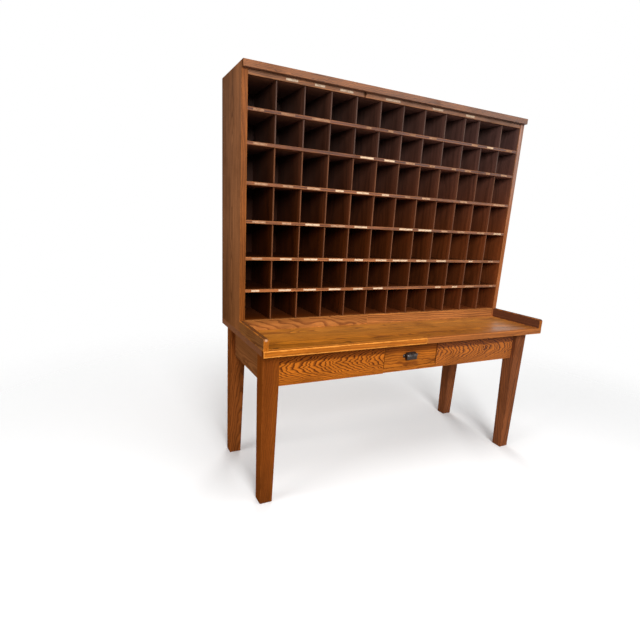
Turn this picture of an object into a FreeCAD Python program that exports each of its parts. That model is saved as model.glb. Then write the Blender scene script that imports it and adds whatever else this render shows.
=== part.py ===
import FreeCAD, Part
import math
import os

# Pigeonhole mail sorter: a case of open compartments standing on a table that holds one drawer.
# Millimetres, +Z up, the front faces -Y, and X runs along the case from left to right.
# The origin is on the floor, under the middle of the table top.

# ---------------------------------------------------------------- driving dimensions
# table top
top_length = 1660.0
top_depth = 655.0
top_height = 762.0            # floor to the upper face
top_thick = 28.0
top_board_count = 4
nosing_depth = 22.0
nosing_round = 5.0
nosing_joint_x = 15.0

# raised rails at the two ends of the open ledge
gallery_thick = 22.0
gallery_height = 52.0
gallery_corner = 12.0
gallery_arris = 2.5

# legs, square at the top, tapered on their two inner faces
leg_top = 75.0
leg_foot = 60.0
leg_inset_end = 25.0
leg_inset_front = 72.0
leg_inset_back = 12.0
leg_arris = 2.0
taper_drop = 10.0             # apron's lower edge to the start of the taper

# aprons and their tenons
apron_thick = 22.0
apron_setback = 22.0          # behind the legs' outer faces
apron_height = 168.0
apron_height_right = 165.0    # the short piece right of the drawer is a little shallower
apron_height_side = 162.0
tenon_thick = 10.0
tenon_shoulder = 15.0
tenon_meeting_gap = 2.0       # between the two tenons that meet inside a leg
mortise_end_gap = 1.0

# drawer opening, the rail under it and the drawer's carriers
opening_width = 330.0
opening_height = 142.0
rail_stub = 12.0
rail_stub_thick = 8.0
rail_stub_shoulder = 4.0
runner_tread = 22.0
runner_height = 20.0
guide_thick = 14.0
guide_rise = 18.0
stop_length = 25.0
stop_width = 16.0
stop_height = 12.0

# drawer
drawer_back_room = 75.0       # closed drawer's end to the back apron
drawer_front_thick = 20.0
drawer_side_thick = 12.0
drawer_back_thick = 12.0
drawer_back_inset = 8.0
drawer_back_drop = 6.0
drawer_bottom_thick = 6.0
drawer_bottom_lift = 10.0
drawer_groove = 5.0
drawer_housing = 4.0
tail_length = 14.0
tail_count = 4
tail_root = 17.0
tail_slope = 1.0 / 6.0
gap_left = 0.6
gap_right = 2.0
gap_top = 1.5
gap_bottom = 0.5
gap_stop = 0.3

# cup pull and its screws
pull_width = 64.0
pull_height = 35.0
pull_depth = 22.0
pull_wall = 1.8
pull_end_round = 10.0
pull_below_edge = 65.5        # drawer front's upper edge to the pull's upper edge
pull_shift = -5.0             # the pull stands a little left of the drawer's middle
ear_reach = 15.0
ear_height = 18.0
ear_thick = 2.0
pull_screw_radius = 1.6
pull_screw_length = 14.0
pull_screw_head = 3.6
pull_screw_dome = 1.8

# blocks glued under the top, behind the aprons
block_length = 60.0
block_width = 25.0
block_height = 30.0
block_bevel = 10.0
block_spacing = 250.0

# case
case_depth = 315.0
side_thick = 26.0
column_count = 12
divider_thick = 6.0
shelf_thick = 14.0
kick_height = 50.5
kick_thick = 18.0
kick_joint_x = -120.0
cell_height_top = 120.5
cell_height_middle = 150.0
cell_height_low = 134.5
front_setback = 4.0           # shelves, kickboard and header behind the sides' front edges
divider_recess = 8.5          # dividers behind the shelves' front edges
odd_divider = (1, 10)         # row from the top, divider from the left: it stands off its place
odd_divider_shift = -34.0
shelf_housing = 6.0
divider_housing = 3.0
housing_stop = 8.0            # housings stop short of the shelves' front edges
header_reveal = 20.5          # header strip seen below the crown
header_thick = 12.0
header_joint_x = -235.0
header_joint_gap = 2.0
crown_height = 28.0
crown_depth = 20.0
crown_arris = 1.5
lid_thick = 20.0
lid_rebate = 13.0
back_thick = 8.0
back_rebate = 10.0
back_board_count = 4
back_lap = 8.0

# screws that hold the case's sides down, driven up through the top
case_screw_count = 4
case_screw_inset = 45.0
case_screw_radius = 2.5
case_screw_head = 4.8
case_screw_taper = 3.5
case_screw_length = 70.0

# paper labels on the shelves' front edges and on the header strip
label_thick = 0.4
label_height = 8.0
header_label_height = 9.0

# label lists: for each shelf from the top, (compartment, width, shift from its middle)
fresh_labels = {
    1: [(11, 46, -9)],
    2: [(5, 75, 3), (6, 61, 0)],
    3: [(4, 44, -3), (5, 70, -6), (6, 43, -6)],
    4: [(3, 75, -4), (5, 74, -3), (7, 86, 9), (8, 89, 2), (12, 60, 10)],
    5: [(2, 58, 0), (3, 72, -5), (4, 78, 0), (5, 49, 0), (6, 67, 2), (7, 96, -9), (8, 69, 0),
        (9, 69, 6), (11, 31, -39)],
    6: [(1, 39, -14), (2, 65, 0), (3, 68, -2), (4, 68, 4), (5, 56, 8), (6, 61, -2), (9, 40, 6),
        (10, 38, -3)],
}
aged_labels = {
    1: [(1, 49, -14), (2, 66, -13), (3, 92, 14), (5, 28, 0), (6, 30, -7), (7, 38, -9),
        (8, 46, -12), (10, 44, 9), (12, 48, 2)],
    2: [(1, 64, -5), (7, 57, -6), (8, 34, 3), (9, 28, 17), (10, 44, -16), (11, 31, 0),
        (12, 49, -8)],
    3: [(1, 61, 4), (2, 50, -2), (3, 68, -6), (7, 32, -2), (8, 54, -14), (10, 52, -18),
        (12, 90, -11)],
    4: [(1, 63, -3), (2, 46, -3), (4, 79, 0), (9, 43, 4), (10, 52, -9), (11, 55, 10)],
    5: [(1, 50, -9), (12, 41, -11)],
    6: [(11, 70, -22), (12, 25, 20)],
}
header_labels = [(2, 56, 0), (3, 50, 0), (4, 69, 2), (6, 85, -9), (8, 69, 0), (10, 60, -48)]

# ---------------------------------------------------------------- derived places
half_length = top_length / 2
front_y = -top_depth / 2
back_y = top_depth / 2
top_under = top_height - top_thick

leg_outer_x = half_length - leg_inset_end
leg_inner_x = leg_outer_x - leg_top
leg_front_y = front_y + leg_inset_front
leg_back_y = back_y - leg_inset_back
leg_front_inner_y = leg_front_y + leg_top
leg_back_inner_y = leg_back_y - leg_top

apron_front_y = leg_front_y + apron_setback
apron_back_y = leg_back_y - apron_setback
apron_side_x = leg_outer_x - apron_setback
tenon_inset = (apron_thick - tenon_thick) / 2
tenon_length = leg_top - apron_setback - tenon_inset - tenon_thick - tenon_meeting_gap

opening_x = opening_width / 2
rail_top = top_under - opening_height
rail_bottom = top_under - apron_height_right
carrier_front_y = apron_front_y + apron_thick
carrier_back_y = apron_back_y - apron_thick

drawer_left = -opening_x + gap_left
drawer_right = opening_x - gap_right
drawer_low = rail_top + gap_bottom
drawer_high = top_under - gap_top
drawer_inner_y = apron_front_y + drawer_front_thick
drawer_end_y = carrier_back_y - drawer_back_room

case_front_y = back_y - case_depth
case_inner_x = half_length - side_thick
shelf_front_y = case_front_y + front_setback
divider_front_y = shelf_front_y + divider_recess
case_back_y = back_y - back_thick
cell_width = (2 * case_inner_x - (column_count - 1) * divider_thick) / column_count
row_heights = [cell_height_top, cell_height_top,
               cell_height_middle, cell_height_middle, cell_height_middle,
               cell_height_low, cell_height_low]
floor_z = top_height + kick_height
ceiling_z = floor_z + sum(row_heights) + (len(row_heights) - 1) * shelf_thick
crown_z = ceiling_z + header_reveal
case_top_z = crown_z + crown_height
lid_z = case_top_z - lid_thick


# ---------------------------------------------------------------- helpers
def block(x0, x1, y0, y1, z0, z1):
    """A box from its six faces."""
    return Part.makeBox(x1 - x0, y1 - y0, z1 - z0, FreeCAD.Vector(x0, y0, z0))


def prism_along_x(points_yz, x0, x1):
    """A polygon in the YZ plane, carried from x0 to x1."""
    corners = [FreeCAD.Vector(x0, y, z) for y, z in points_yz]
    face = Part.Face(Part.makePolygon(corners + corners[:1]))
    return face.extrude(FreeCAD.Vector(x1 - x0, 0, 0))


def prism_along_y(points_xz, y0, y1):
    """A polygon in the XZ plane, carried from y0 to y1."""
    corners = [FreeCAD.Vector(x, y0, z) for x, z in points_xz]
    face = Part.Face(Part.makePolygon(corners + corners[:1]))
    return face.extrude(FreeCAD.Vector(0, y1 - y0, 0))


def prism_along_z(points_xy, z0, z1):
    """A polygon in the XY plane, carried from z0 to z1."""
    corners = [FreeCAD.Vector(x, y, z0) for x, y in points_xy]
    face = Part.Face(Part.makePolygon(corners + corners[:1]))
    return face.extrude(FreeCAD.Vector(0, 0, z1 - z0))


def join(*shapes):
    """One solid from touching ones, with the seams between them taken out."""
    whole = shapes[0].fuse(list(shapes[1:]))
    return whole.removeSplitter()


def edges_where(shape, test):
    """The edges whose both ends pass a test on their point."""
    return [edge for edge in shape.Edges if all(test(vertex.Point) for vertex in edge.Vertexes)]


def same(a, b):
    return abs(a - b) < 0.001


def row_floor(row):
    """Height of the surface under a row of compartments, row 1 at the top."""
    below = row_heights[row:]
    return floor_z + sum(below) + len(below) * shelf_thick


def divider_x(row, number):
    """Left face of a divider, number 1 next to the first compartment."""
    shift = odd_divider_shift if (row, number) == odd_divider else 0
    return -case_inner_x + number * cell_width + (number - 1) * divider_thick + shift


def cell_middle_x(cell):
    return -case_inner_x + (cell - 0.5) * cell_width + (cell - 1) * divider_thick


# ---------------------------------------------------------------- table
def leg(side, end_y, inner_y):
    """A leg: side is -1 or +1 along X, end_y its outer face and inner_y its inner one."""
    outward = 1 if end_y > inner_y else -1
    taper_z = top_under - apron_height - taper_drop
    outer_x = side * leg_outer_x
    inner_x = side * leg_inner_x
    foot_x = outer_x - side * leg_foot
    foot_y = end_y - outward * leg_foot
    across = [(outer_x, 0), (foot_x, 0), (inner_x, taper_z), (inner_x, top_under), (outer_x, top_under)]
    along = [(end_y, 0), (foot_y, 0), (inner_y, taper_z), (inner_y, top_under), (end_y, top_under)]
    post = prism_along_y(across, end_y, inner_y).common(prism_along_x(along, inner_x, outer_x))
    post = post.removeSplitter()
    at_foot = edges_where(post, lambda p: same(p.z, 0))
    at_outer_corner = edges_where(post, lambda p: same(p.x, outer_x) and same(p.y, end_y))
    return post.makeChamfer(leg_arris, at_foot + at_outer_corner)


def apron_along_x(x0, x1, y0, height, tenons):
    """A front or back apron between x0 and x1, with a tenon at each end that is named."""
    low = top_under - height
    body = block(x0, x1, y0, y0 + apron_thick, low, top_under)
    tongues = []
    cuts = []
    for end in tenons:
        root = x1 if end > 0 else x0
        for reach, kind in ((tenon_length, tongues), (tenon_length + mortise_end_gap, cuts)):
            tip = root + end * reach
            kind.append(block(min(root, tip), max(root, tip), y0 + tenon_inset,
                              y0 + tenon_inset + tenon_thick, low + tenon_shoulder,
                              top_under - tenon_shoulder))
    return join(body, *tongues), cuts


def apron_along_y(side):
    """An end apron between the front and the back leg, with both its tenons."""
    low = top_under - apron_height_side
    outer = side * apron_side_x
    inner = outer - side * apron_thick
    x0 = min(outer, inner)
    body = block(x0, x0 + apron_thick, leg_front_inner_y, leg_back_inner_y, low, top_under)
    tongues = []
    cuts = []
    for root, end in ((leg_front_inner_y, -1), (leg_back_inner_y, 1)):
        for reach, kind in ((tenon_length, tongues), (tenon_length + mortise_end_gap, cuts)):
            tip = root + end * reach
            kind.append(block(x0 + tenon_inset, x0 + tenon_inset + tenon_thick, min(root, tip),
                              max(root, tip), low + tenon_shoulder, top_under - tenon_shoulder))
    return join(body, *tongues), cuts


def drawer_rail():
    """The rail under the drawer, stub-tenoned into the aprons beside it."""
    body = block(-opening_x, opening_x, apron_front_y, apron_front_y + apron_thick, rail_bottom, rail_top)
    y0 = apron_front_y + (apron_thick - rail_stub_thick) / 2
    stubs = [block(x0, x0 + rail_stub, y0, y0 + rail_stub_thick, rail_bottom + rail_stub_shoulder,
                   rail_top - rail_stub_shoulder) for x0 in (-opening_x - rail_stub, opening_x)]
    return join(body, *stubs), stubs


def drawer_runner(side):
    """An L-shaped carrier: the drawer's side rides on its tread and along its guide."""
    edge = side * opening_x
    inner = edge - side * runner_tread
    outer = edge + side * guide_thick
    low = rail_top - runner_height
    high = rail_top + guide_rise
    section = [(inner, low), (outer, low), (outer, high), (edge, high), (edge, rail_top), (inner, rail_top)]
    return prism_along_y(section, carrier_front_y, carrier_back_y)


def drawer_stop(side):
    """A block on a runner, behind the drawer's side, that the closed drawer comes to."""
    edge = side * opening_x
    inner = edge - side * stop_width
    y0 = drawer_end_y + gap_stop
    return block(min(edge, inner), max(edge, inner), y0, y0 + stop_length, rail_top, rail_top + stop_height)


def glue_block(prism, middle, apron_face, side):
    """A bevelled block under the top, reaching from an apron's inner face along side."""
    far = apron_face + side * block_width
    section = [(apron_face, top_under), (far, top_under), (far, top_under - block_bevel),
               (apron_face + side * block_bevel, top_under - block_height),
               (apron_face, top_under - block_height)]
    return prism(section, middle - block_length / 2, middle + block_length / 2)


def glue_blocks():
    """The blocks that hold the top to the aprons, clear of the drawer's carriers."""
    first = opening_x + guide_thick + block_length
    end_middle = (leg_front_inner_y + leg_back_inner_y) / 2
    blocks = []
    for side in (-1, 1):
        for middle in (first, first + block_spacing):
            blocks.append(glue_block(prism_along_x, side * middle, carrier_front_y, 1))
            blocks.append(glue_block(prism_along_x, side * middle, carrier_back_y, -1))
        inner_x = side * (apron_side_x - apron_thick)
        blocks.append(glue_block(prism_along_y, end_middle, inner_x, -side))
    return blocks


def top_boards():
    """The boards of the table top, front to back, behind the nosing."""
    y0 = front_y + nosing_depth
    width = (back_y - y0) / top_board_count
    return [block(-half_length, half_length, y0 + i * width, y0 + (i + 1) * width, top_under, top_height)
            for i in range(top_board_count)]


def nosing(x0, x1):
    """A length of the front strip, its upper front arris rounded."""
    strip = block(x0, x1, front_y, front_y + nosing_depth, top_under, top_height)
    arris = edges_where(strip, lambda p: same(p.y, front_y) and same(p.z, top_height))
    return strip.makeFillet(nosing_round, arris)


def gallery(side):
    """A raised end rail on the open ledge, its front upper corner rounded off."""
    outer = side * half_length
    inner = outer - side * gallery_thick
    rail = block(min(outer, inner), max(outer, inner), front_y, case_front_y, top_height,
                 top_height + gallery_height)
    corner = edges_where(rail, lambda p: same(p.y, front_y) and same(p.z, top_height + gallery_height))
    rail = rail.makeFillet(gallery_corner, corner)
    upper = [edge for edge in rail.Edges
             if edge.BoundBox.ZMin > top_height + gallery_height - gallery_corner - 0.001
             and edge.BoundBox.XLength < 0.001 and edge.BoundBox.YMax > front_y + 0.001]
    upper = [edge for edge in upper if edge.BoundBox.YLength > 0.001]
    return rail.makeFillet(gallery_arris, upper)


# ---------------------------------------------------------------- drawer
def drawer_side(side):
    """A drawer side with dovetails on its front end; side -1 is the left one."""
    outer = drawer_left if side < 0 else drawer_right
    inner = outer - side * drawer_side_thick
    x0 = min(outer, inner)
    x1 = max(outer, inner)
    board = block(x0, x1, drawer_inner_y, drawer_end_y, drawer_low, drawer_high)
    pitch = (drawer_high - drawer_low) / tail_count
    flare = tail_length * tail_slope
    tip_y = drawer_inner_y - tail_length
    tails = []
    for i in range(tail_count):
        middle = drawer_low + (i + 0.5) * pitch
        root = tail_root / 2
        outline = [(drawer_inner_y, middle - root), (tip_y, middle - root - flare),
                   (tip_y, middle + root + flare), (drawer_inner_y, middle + root)]
        tails.append(prism_along_x(outline, x0, x1))
    return join(board, *tails)


def drawer_bottom():
    """The bottom board, in grooves in the front and sides and under the back."""
    z0 = drawer_low + drawer_bottom_lift
    inset = drawer_side_thick - drawer_groove
    return block(drawer_left + inset, drawer_right - inset, drawer_inner_y - drawer_groove,
                 drawer_end_y - drawer_back_inset, z0, z0 + drawer_bottom_thick)


def drawer_back():
    """The back board, housed in the sides and standing on the bottom board."""
    z0 = drawer_low + drawer_bottom_lift + drawer_bottom_thick
    inset = drawer_side_thick - drawer_housing
    y1 = drawer_end_y - drawer_back_inset
    return block(drawer_left + inset, drawer_right - inset, y1 - drawer_back_thick, y1, z0,
                 drawer_high - drawer_back_drop)


def hood(width, height, depth, round_radius, middle, top_z, face_y):
    """A cup: a quarter-round top running down to an open mouth, with its two ends rounded."""
    x0 = middle - width / 2
    diagonal = depth * math.sqrt(0.5)
    arc_middle = FreeCAD.Vector(x0, face_y - diagonal, top_z - depth + diagonal)
    top_point = FreeCAD.Vector(x0, face_y, top_z)
    front_point = FreeCAD.Vector(x0, face_y - depth, top_z - depth)
    mouth_front = FreeCAD.Vector(x0, face_y - depth, top_z - height)
    mouth_back = FreeCAD.Vector(x0, face_y, top_z - height)
    outline = Part.Wire([Part.Arc(top_point, arc_middle, front_point).toShape(),
                         Part.LineSegment(front_point, mouth_front).toShape(),
                         Part.LineSegment(mouth_front, mouth_back).toShape(),
                         Part.LineSegment(mouth_back, top_point).toShape()])
    cup = Part.Face(outline).extrude(FreeCAD.Vector(width, 0, 0))
    rims = [edge for edge in cup.Edges if edge.BoundBox.XLength < 0.001
            and edge.BoundBox.YMin < face_y - depth + 0.001 and edge.BoundBox.ZLength > 0.001]
    return cup.makeFillet(round_radius, rims)


def pull_screw(x, z):
    """A round-headed screw through an ear, driven back into the drawer front."""
    seat_y = apron_front_y - ear_thick
    ball_radius = (pull_screw_head ** 2 + pull_screw_dome ** 2) / (2 * pull_screw_dome)
    back = FreeCAD.Vector(0, 1, 0)
    shank = Part.makeCylinder(pull_screw_radius, ear_thick + pull_screw_length,
                              FreeCAD.Vector(x, seat_y, z), back)
    ball = Part.makeSphere(ball_radius, FreeCAD.Vector(x, seat_y - pull_screw_dome + ball_radius, z))
    cap = ball.common(block(x - pull_screw_head, x + pull_screw_head, seat_y - pull_screw_dome, seat_y,
                            z - pull_screw_head, z + pull_screw_head))
    return join(cap, shank)


def drawer_pull():
    """The cup pull: a hood with a flat ear at each end, and its two screws."""
    middle = (drawer_left + drawer_right) / 2 + pull_shift
    top_z = drawer_high - pull_below_edge
    ear_z = top_z - pull_height / 2
    shell = hood(pull_width, pull_height, pull_depth, pull_end_round, middle, top_z, apron_front_y)
    hollow = hood(pull_width - 2 * pull_wall, pull_height - pull_wall, pull_depth - pull_wall,
                  pull_end_round - pull_wall, middle, top_z - pull_wall, apron_front_y)
    ear_round = ear_height / 2
    reach = pull_width / 2 + ear_reach - ear_round
    strap = block(middle - reach, middle + reach, apron_front_y - ear_thick, apron_front_y,
                  ear_z - ear_round, ear_z + ear_round)
    tips = [Part.makeCylinder(ear_round, ear_thick,
                              FreeCAD.Vector(middle + side * reach, apron_front_y - ear_thick, ear_z),
                              FreeCAD.Vector(0, 1, 0)) for side in (-1, 1)]
    cup = join(shell, strap, *tips).cut(hollow)
    screw_x = pull_width / 2 + ear_reach / 2
    screws = [pull_screw(middle + side * screw_x, ear_z) for side in (-1, 1)]
    return cup.cut(screws), screws


# ---------------------------------------------------------------- case
def case_side(side):
    """A full-height side board."""
    outer = side * half_length
    inner = side * case_inner_x
    return block(min(outer, inner), max(outer, inner), case_front_y, back_y, top_height, case_top_z)


def shelf(under_z, front, thick):
    """A board across the case, its ends housed in the sides."""
    reach = case_inner_x + shelf_housing
    return block(-reach, reach, front, case_back_y, under_z, under_z + thick)


def dividers(row):
    """The upright boards of one row, with tongues that stop short of the front."""
    low = row_floor(row)
    high = low + row_heights[row - 1]
    tongue_y = shelf_front_y + max(header_thick, kick_thick) + housing_stop
    boards = []
    for number in range(1, column_count):
        x0 = divider_x(row, number)
        x1 = x0 + divider_thick
        face = block(x0, x1, divider_front_y, case_back_y, low, high)
        tongue = block(x0, x1, tongue_y, case_back_y, low - divider_housing, high + divider_housing)
        boards.append(join(face, tongue))
    return boards


def back_board(number):
    """A vertical back board with a ship-lap to the next; number counts from the left."""
    reach = case_inner_x + back_rebate
    width = 2 * reach / back_board_count
    x0 = -reach + number * width
    x1 = x0 + width
    mid_y = case_back_y + back_thick / 2
    left_lap = back_lap if number > 0 else 0
    right_lap = back_lap if number < back_board_count - 1 else 0
    outline = [(x0, case_back_y), (x1, case_back_y), (x1, mid_y)]
    if right_lap:
        outline += [(x1 + right_lap, mid_y), (x1 + right_lap, back_y)]
    else:
        outline += [(x1, back_y)]
    if left_lap:
        outline += [(x0 + left_lap, back_y), (x0 + left_lap, mid_y), (x0, mid_y)]
    else:
        outline += [(x0, back_y)]
    return prism_along_z(outline, top_height, case_top_z)


def crown():
    """The strip along the top front edge, standing proud of the sides."""
    strip = block(-half_length, half_length, case_front_y - crown_depth, case_front_y, crown_z, case_top_z)
    front = case_front_y - crown_depth
    return strip.makeFillet(crown_arris, edges_where(strip, lambda p: same(p.y, front)))


def case_screw(x, y):
    """A countersunk screw, driven up through the top into the foot of a case side."""
    up = FreeCAD.Vector(0, 0, 1)
    head = Part.makeCone(case_screw_head, case_screw_radius, case_screw_taper,
                         FreeCAD.Vector(x, y, top_under), up)
    shank = Part.makeCylinder(case_screw_radius, case_screw_length - case_screw_taper,
                              FreeCAD.Vector(x, y, top_under + case_screw_taper), up)
    return join(head, shank)


def case_screws():
    x = half_length - side_thick / 2
    step = (case_depth - 2 * case_screw_inset) / (case_screw_count - 1)
    return [case_screw(side * x, case_front_y + case_screw_inset + i * step)
            for side in (-1, 1) for i in range(case_screw_count)]


def label(cell, width, shift, middle_z, height):
    """A paper slip on the front edge of a board."""
    x = cell_middle_x(cell) + shift
    return block(x - width / 2, x + width / 2, shelf_front_y - label_thick, shelf_front_y,
                 middle_z - height / 2, middle_z + height / 2)


def shelf_labels(lists):
    return [label(cell, width, shift, row_floor(row) - shelf_thick / 2, label_height)
            for row, entries in lists.items() for cell, width, shift in entries]


# ---------------------------------------------------------------- the whole
def build_table(parts):
    front_left, cuts_fl = apron_along_x(-leg_inner_x, -opening_x, apron_front_y, apron_height, [-1])
    front_right, cuts_fr = apron_along_x(opening_x, leg_inner_x, apron_front_y, apron_height_right, [1])
    back, cuts_back = apron_along_x(-leg_inner_x, leg_inner_x, carrier_back_y, apron_height, [-1, 1])
    left, cuts_left = apron_along_y(-1)
    right, cuts_right = apron_along_y(1)
    mortises = cuts_fl + cuts_fr + cuts_back + cuts_left + cuts_right
    places = [("front_left", -1, leg_front_y, leg_front_inner_y),
              ("front_right", 1, leg_front_y, leg_front_inner_y),
              ("back_left", -1, leg_back_y, leg_back_inner_y),
              ("back_right", 1, leg_back_y, leg_back_inner_y)]
    for name, side, end_y, inner_y in places:
        parts["leg_" + name] = [leg(side, end_y, inner_y).cut(mortises)]
    rail, stubs = drawer_rail()
    parts["apron_front_left"] = [front_left.cut(stubs)]
    parts["apron_front_right"] = [front_right.cut(stubs)]
    parts["apron_back"] = [back]
    parts["apron_side_left"] = [left]
    parts["apron_side_right"] = [right]
    parts["drawer_rail"] = [rail]
    parts["drawer_runner_left"] = [drawer_runner(-1)]
    parts["drawer_runner_right"] = [drawer_runner(1)]
    parts["drawer_stops"] = [drawer_stop(-1), drawer_stop(1)]
    parts["glue_blocks"] = glue_blocks()
    screws = case_screws()
    parts["case_screws"] = screws
    for i, board in enumerate(top_boards()):
        parts["top_board_%d" % (i + 1)] = [board.cut(screws)]
    parts["top_nosing_left"] = [nosing(-half_length, nosing_joint_x)]
    parts["top_nosing_right"] = [nosing(nosing_joint_x, half_length)]
    parts["gallery_left"] = [gallery(-1)]
    parts["gallery_right"] = [gallery(1)]


def build_drawer(parts):
    bottom = drawer_bottom()
    back = drawer_back()
    sides = [drawer_side(-1), drawer_side(1)]
    pull, screws = drawer_pull()
    front = block(drawer_left, drawer_right, apron_front_y, drawer_inner_y, drawer_low, drawer_high)
    parts["drawer_front"] = [front.cut(sides + [bottom] + screws)]
    parts["drawer_side_left"] = [sides[0].cut([bottom, back])]
    parts["drawer_side_right"] = [sides[1].cut([bottom, back])]
    parts["drawer_back"] = [back]
    parts["drawer_bottom"] = [bottom]
    parts["drawer_pull"] = [pull]
    parts["pull_screws"] = screws


def build_case(parts):
    row_count = len(row_heights)
    kick_back_y = shelf_front_y + kick_thick
    header_back_y = shelf_front_y + header_thick
    floor_board = shelf(floor_z - shelf_thick, kick_back_y, shelf_thick)
    ceiling = shelf(ceiling_z, header_back_y, shelf_thick)
    shelves = [shelf(row_floor(row) - shelf_thick, shelf_front_y, shelf_thick)
               for row in range(1, row_count)]
    rows = [dividers(row) for row in range(1, row_count + 1)]
    lid_reach = case_inner_x + lid_rebate
    lid = block(-lid_reach, lid_reach, case_front_y, case_back_y, lid_z, case_top_z)
    backs = [back_board(i) for i in range(back_board_count)]
    housed = [floor_board, ceiling, lid] + shelves + backs + parts["case_screws"]
    parts["case_side_left"] = [case_side(-1).cut(housed)]
    parts["case_side_right"] = [case_side(1).cut(housed)]
    parts["case_lid"] = [lid]
    parts["crown_strip"] = [crown()]
    parts["ceiling_shelf"] = [ceiling.cut(rows[0])]
    for i, board in enumerate(shelves):
        parts["shelf_%d" % (i + 1)] = [board.cut(rows[i] + rows[i + 1])]
    parts["floor_board"] = [floor_board.cut(rows[-1])]
    for i, boards in enumerate(rows):
        parts["dividers_row_%d" % (i + 1)] = boards
    for i, board in enumerate(backs):
        parts["back_board_%d" % (i + 1)] = [board]
    parts["kickboard_left"] = [block(-case_inner_x, kick_joint_x, shelf_front_y, kick_back_y, top_height,
                                     floor_z)]
    parts["kickboard_right"] = [block(kick_joint_x, case_inner_x, shelf_front_y, kick_back_y, top_height,
                                      floor_z)]
    gap = header_joint_gap / 2
    parts["header_strip_left"] = [block(-case_inner_x, header_joint_x - gap, shelf_front_y, header_back_y,
                                        ceiling_z, lid_z)]
    parts["header_strip_right"] = [block(header_joint_x + gap, case_inner_x, shelf_front_y, header_back_y,
                                         ceiling_z, lid_z)]
    header_middle = ceiling_z + header_reveal / 2
    parts["fresh_labels"] = shelf_labels(fresh_labels)
    parts["aged_labels"] = shelf_labels(aged_labels)
    parts["header_labels"] = [label(cell, width, shift, header_middle, header_label_height)
                              for cell, width, shift in header_labels]


def main():
    os.makedirs("parts", exist_ok=True)
    parts = {}
    build_table(parts)
    build_drawer(parts)
    build_case(parts)
    for name, shapes in parts.items():
        solids = [solid for shape in shapes for solid in shape.Solids]
        whole = solids[0] if len(solids) == 1 else Part.makeCompound(solids)
        whole.exportStep("parts/%s.step" % name)
    print(len(parts), "nodes,", sum(len(shape.Solids) for shapes in parts.values() for shape in shapes),
          "solids, case top at", case_top_z, "compartments", round(cell_width, 2), "wide")


main()
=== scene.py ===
import math
from dataclasses import dataclass

import bpy
import numpy as np
from mathutils import Matrix, Vector


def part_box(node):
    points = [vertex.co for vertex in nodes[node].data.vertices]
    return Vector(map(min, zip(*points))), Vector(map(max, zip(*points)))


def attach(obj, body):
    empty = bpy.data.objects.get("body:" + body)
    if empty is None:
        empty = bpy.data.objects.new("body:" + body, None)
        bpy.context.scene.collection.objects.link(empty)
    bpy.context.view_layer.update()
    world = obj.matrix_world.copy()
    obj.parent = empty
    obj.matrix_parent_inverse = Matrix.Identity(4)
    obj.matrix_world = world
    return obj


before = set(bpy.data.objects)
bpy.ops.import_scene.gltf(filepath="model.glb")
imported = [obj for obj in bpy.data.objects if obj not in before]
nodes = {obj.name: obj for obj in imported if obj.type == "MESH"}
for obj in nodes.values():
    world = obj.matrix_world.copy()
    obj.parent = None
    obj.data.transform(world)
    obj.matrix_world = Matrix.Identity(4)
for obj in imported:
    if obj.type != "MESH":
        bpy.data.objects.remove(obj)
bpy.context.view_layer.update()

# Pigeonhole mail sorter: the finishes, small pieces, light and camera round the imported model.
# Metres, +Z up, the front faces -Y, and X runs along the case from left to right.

# ------------------------ places taken from the model
case_half_inside = 0.804        # from the middle to a case side's inner face
cell_pitch = 0.1345             # one compartment and one divider
row_floors = [1.736, 1.6015, 1.4375, 1.2735, 1.1095, 0.961, 0.8125]
ceiling = 1.8565                # under face of the ceiling shelf
shelf_front = 0.0165
label_face = 0.0161
back_boards_front = 0.3195
top_face = 0.762
room_start = shelf_front + 0.0013    # the compartments' stain begins behind the eased front edges


# ------------------------ node helpers
def feed(tree, socket, value):
    """Gives an input its value: a socket is linked, None leaves it alone, anything else is set."""
    if isinstance(value, bpy.types.NodeSocket):
        tree.links.new(value, socket)
    elif value is not None:
        socket.default_value = value


def feed_named(tree, sockets, **values):
    """Feeds inputs by name, with underscores for spaces."""
    for key, value in values.items():
        feed(tree, sockets[key.replace("_", " ")], value)


def add(tree, kind, *values, **settings):
    """Adds one node. Each value goes to the next input."""
    made = tree.nodes.new(kind)
    for key, value in settings.items():
        setattr(made, key, value)
    for socket, value in zip(made.inputs, values):
        feed(tree, socket, value)
    return made


def calc(tree, operation, *values, clamp=False):
    """One Math node's result."""
    return add(tree, "ShaderNodeMath", *values, operation=operation, use_clamp=clamp).outputs[0]


def vec(tree, operation, *values):
    """One Vector Math node's result."""
    made = add(tree, "ShaderNodeVectorMath", *values, operation=operation)
    gives_number = operation in ("LENGTH", "DOT_PRODUCT", "DISTANCE")
    return made.outputs["Value" if gives_number else "Vector"]


def scale_vector(tree, vector, factor):
    """A vector times a number that may be a socket."""
    made = add(tree, "ShaderNodeVectorMath", vector, operation="SCALE")
    feed(tree, made.inputs["Scale"], factor)
    return made.outputs["Vector"]


def split(tree, vector):
    """A vector's three parts."""
    return add(tree, "ShaderNodeSeparateXYZ", vector).outputs


def join(tree, *parts):
    """A vector from its three parts."""
    return add(tree, "ShaderNodeCombineXYZ", *parts).outputs[0]


def ramp(tree, value, low, high, to_low=0.0, to_high=1.0, smooth=True):
    """A value carried from the range low..high to to_low..to_high, clamped, with soft ends if smooth."""
    shape = "SMOOTHSTEP" if smooth else "LINEAR"
    return add(tree, "ShaderNodeMapRange", value, low, high, to_low, to_high,
               clamp=True, interpolation_type=shape).outputs[0]


def noise(tree, vector, stretch, detail=2.0, roughness=0.5):
    """Noise from 0 to 1 whose features are 1/stretch metres long on each axis."""
    made = add(tree, "ShaderNodeTexNoise", vec(tree, "MULTIPLY", vector, stretch))
    feed_named(tree, made.inputs, Scale=1.0, Detail=detail, Roughness=roughness)
    return made.outputs[0]


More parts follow.
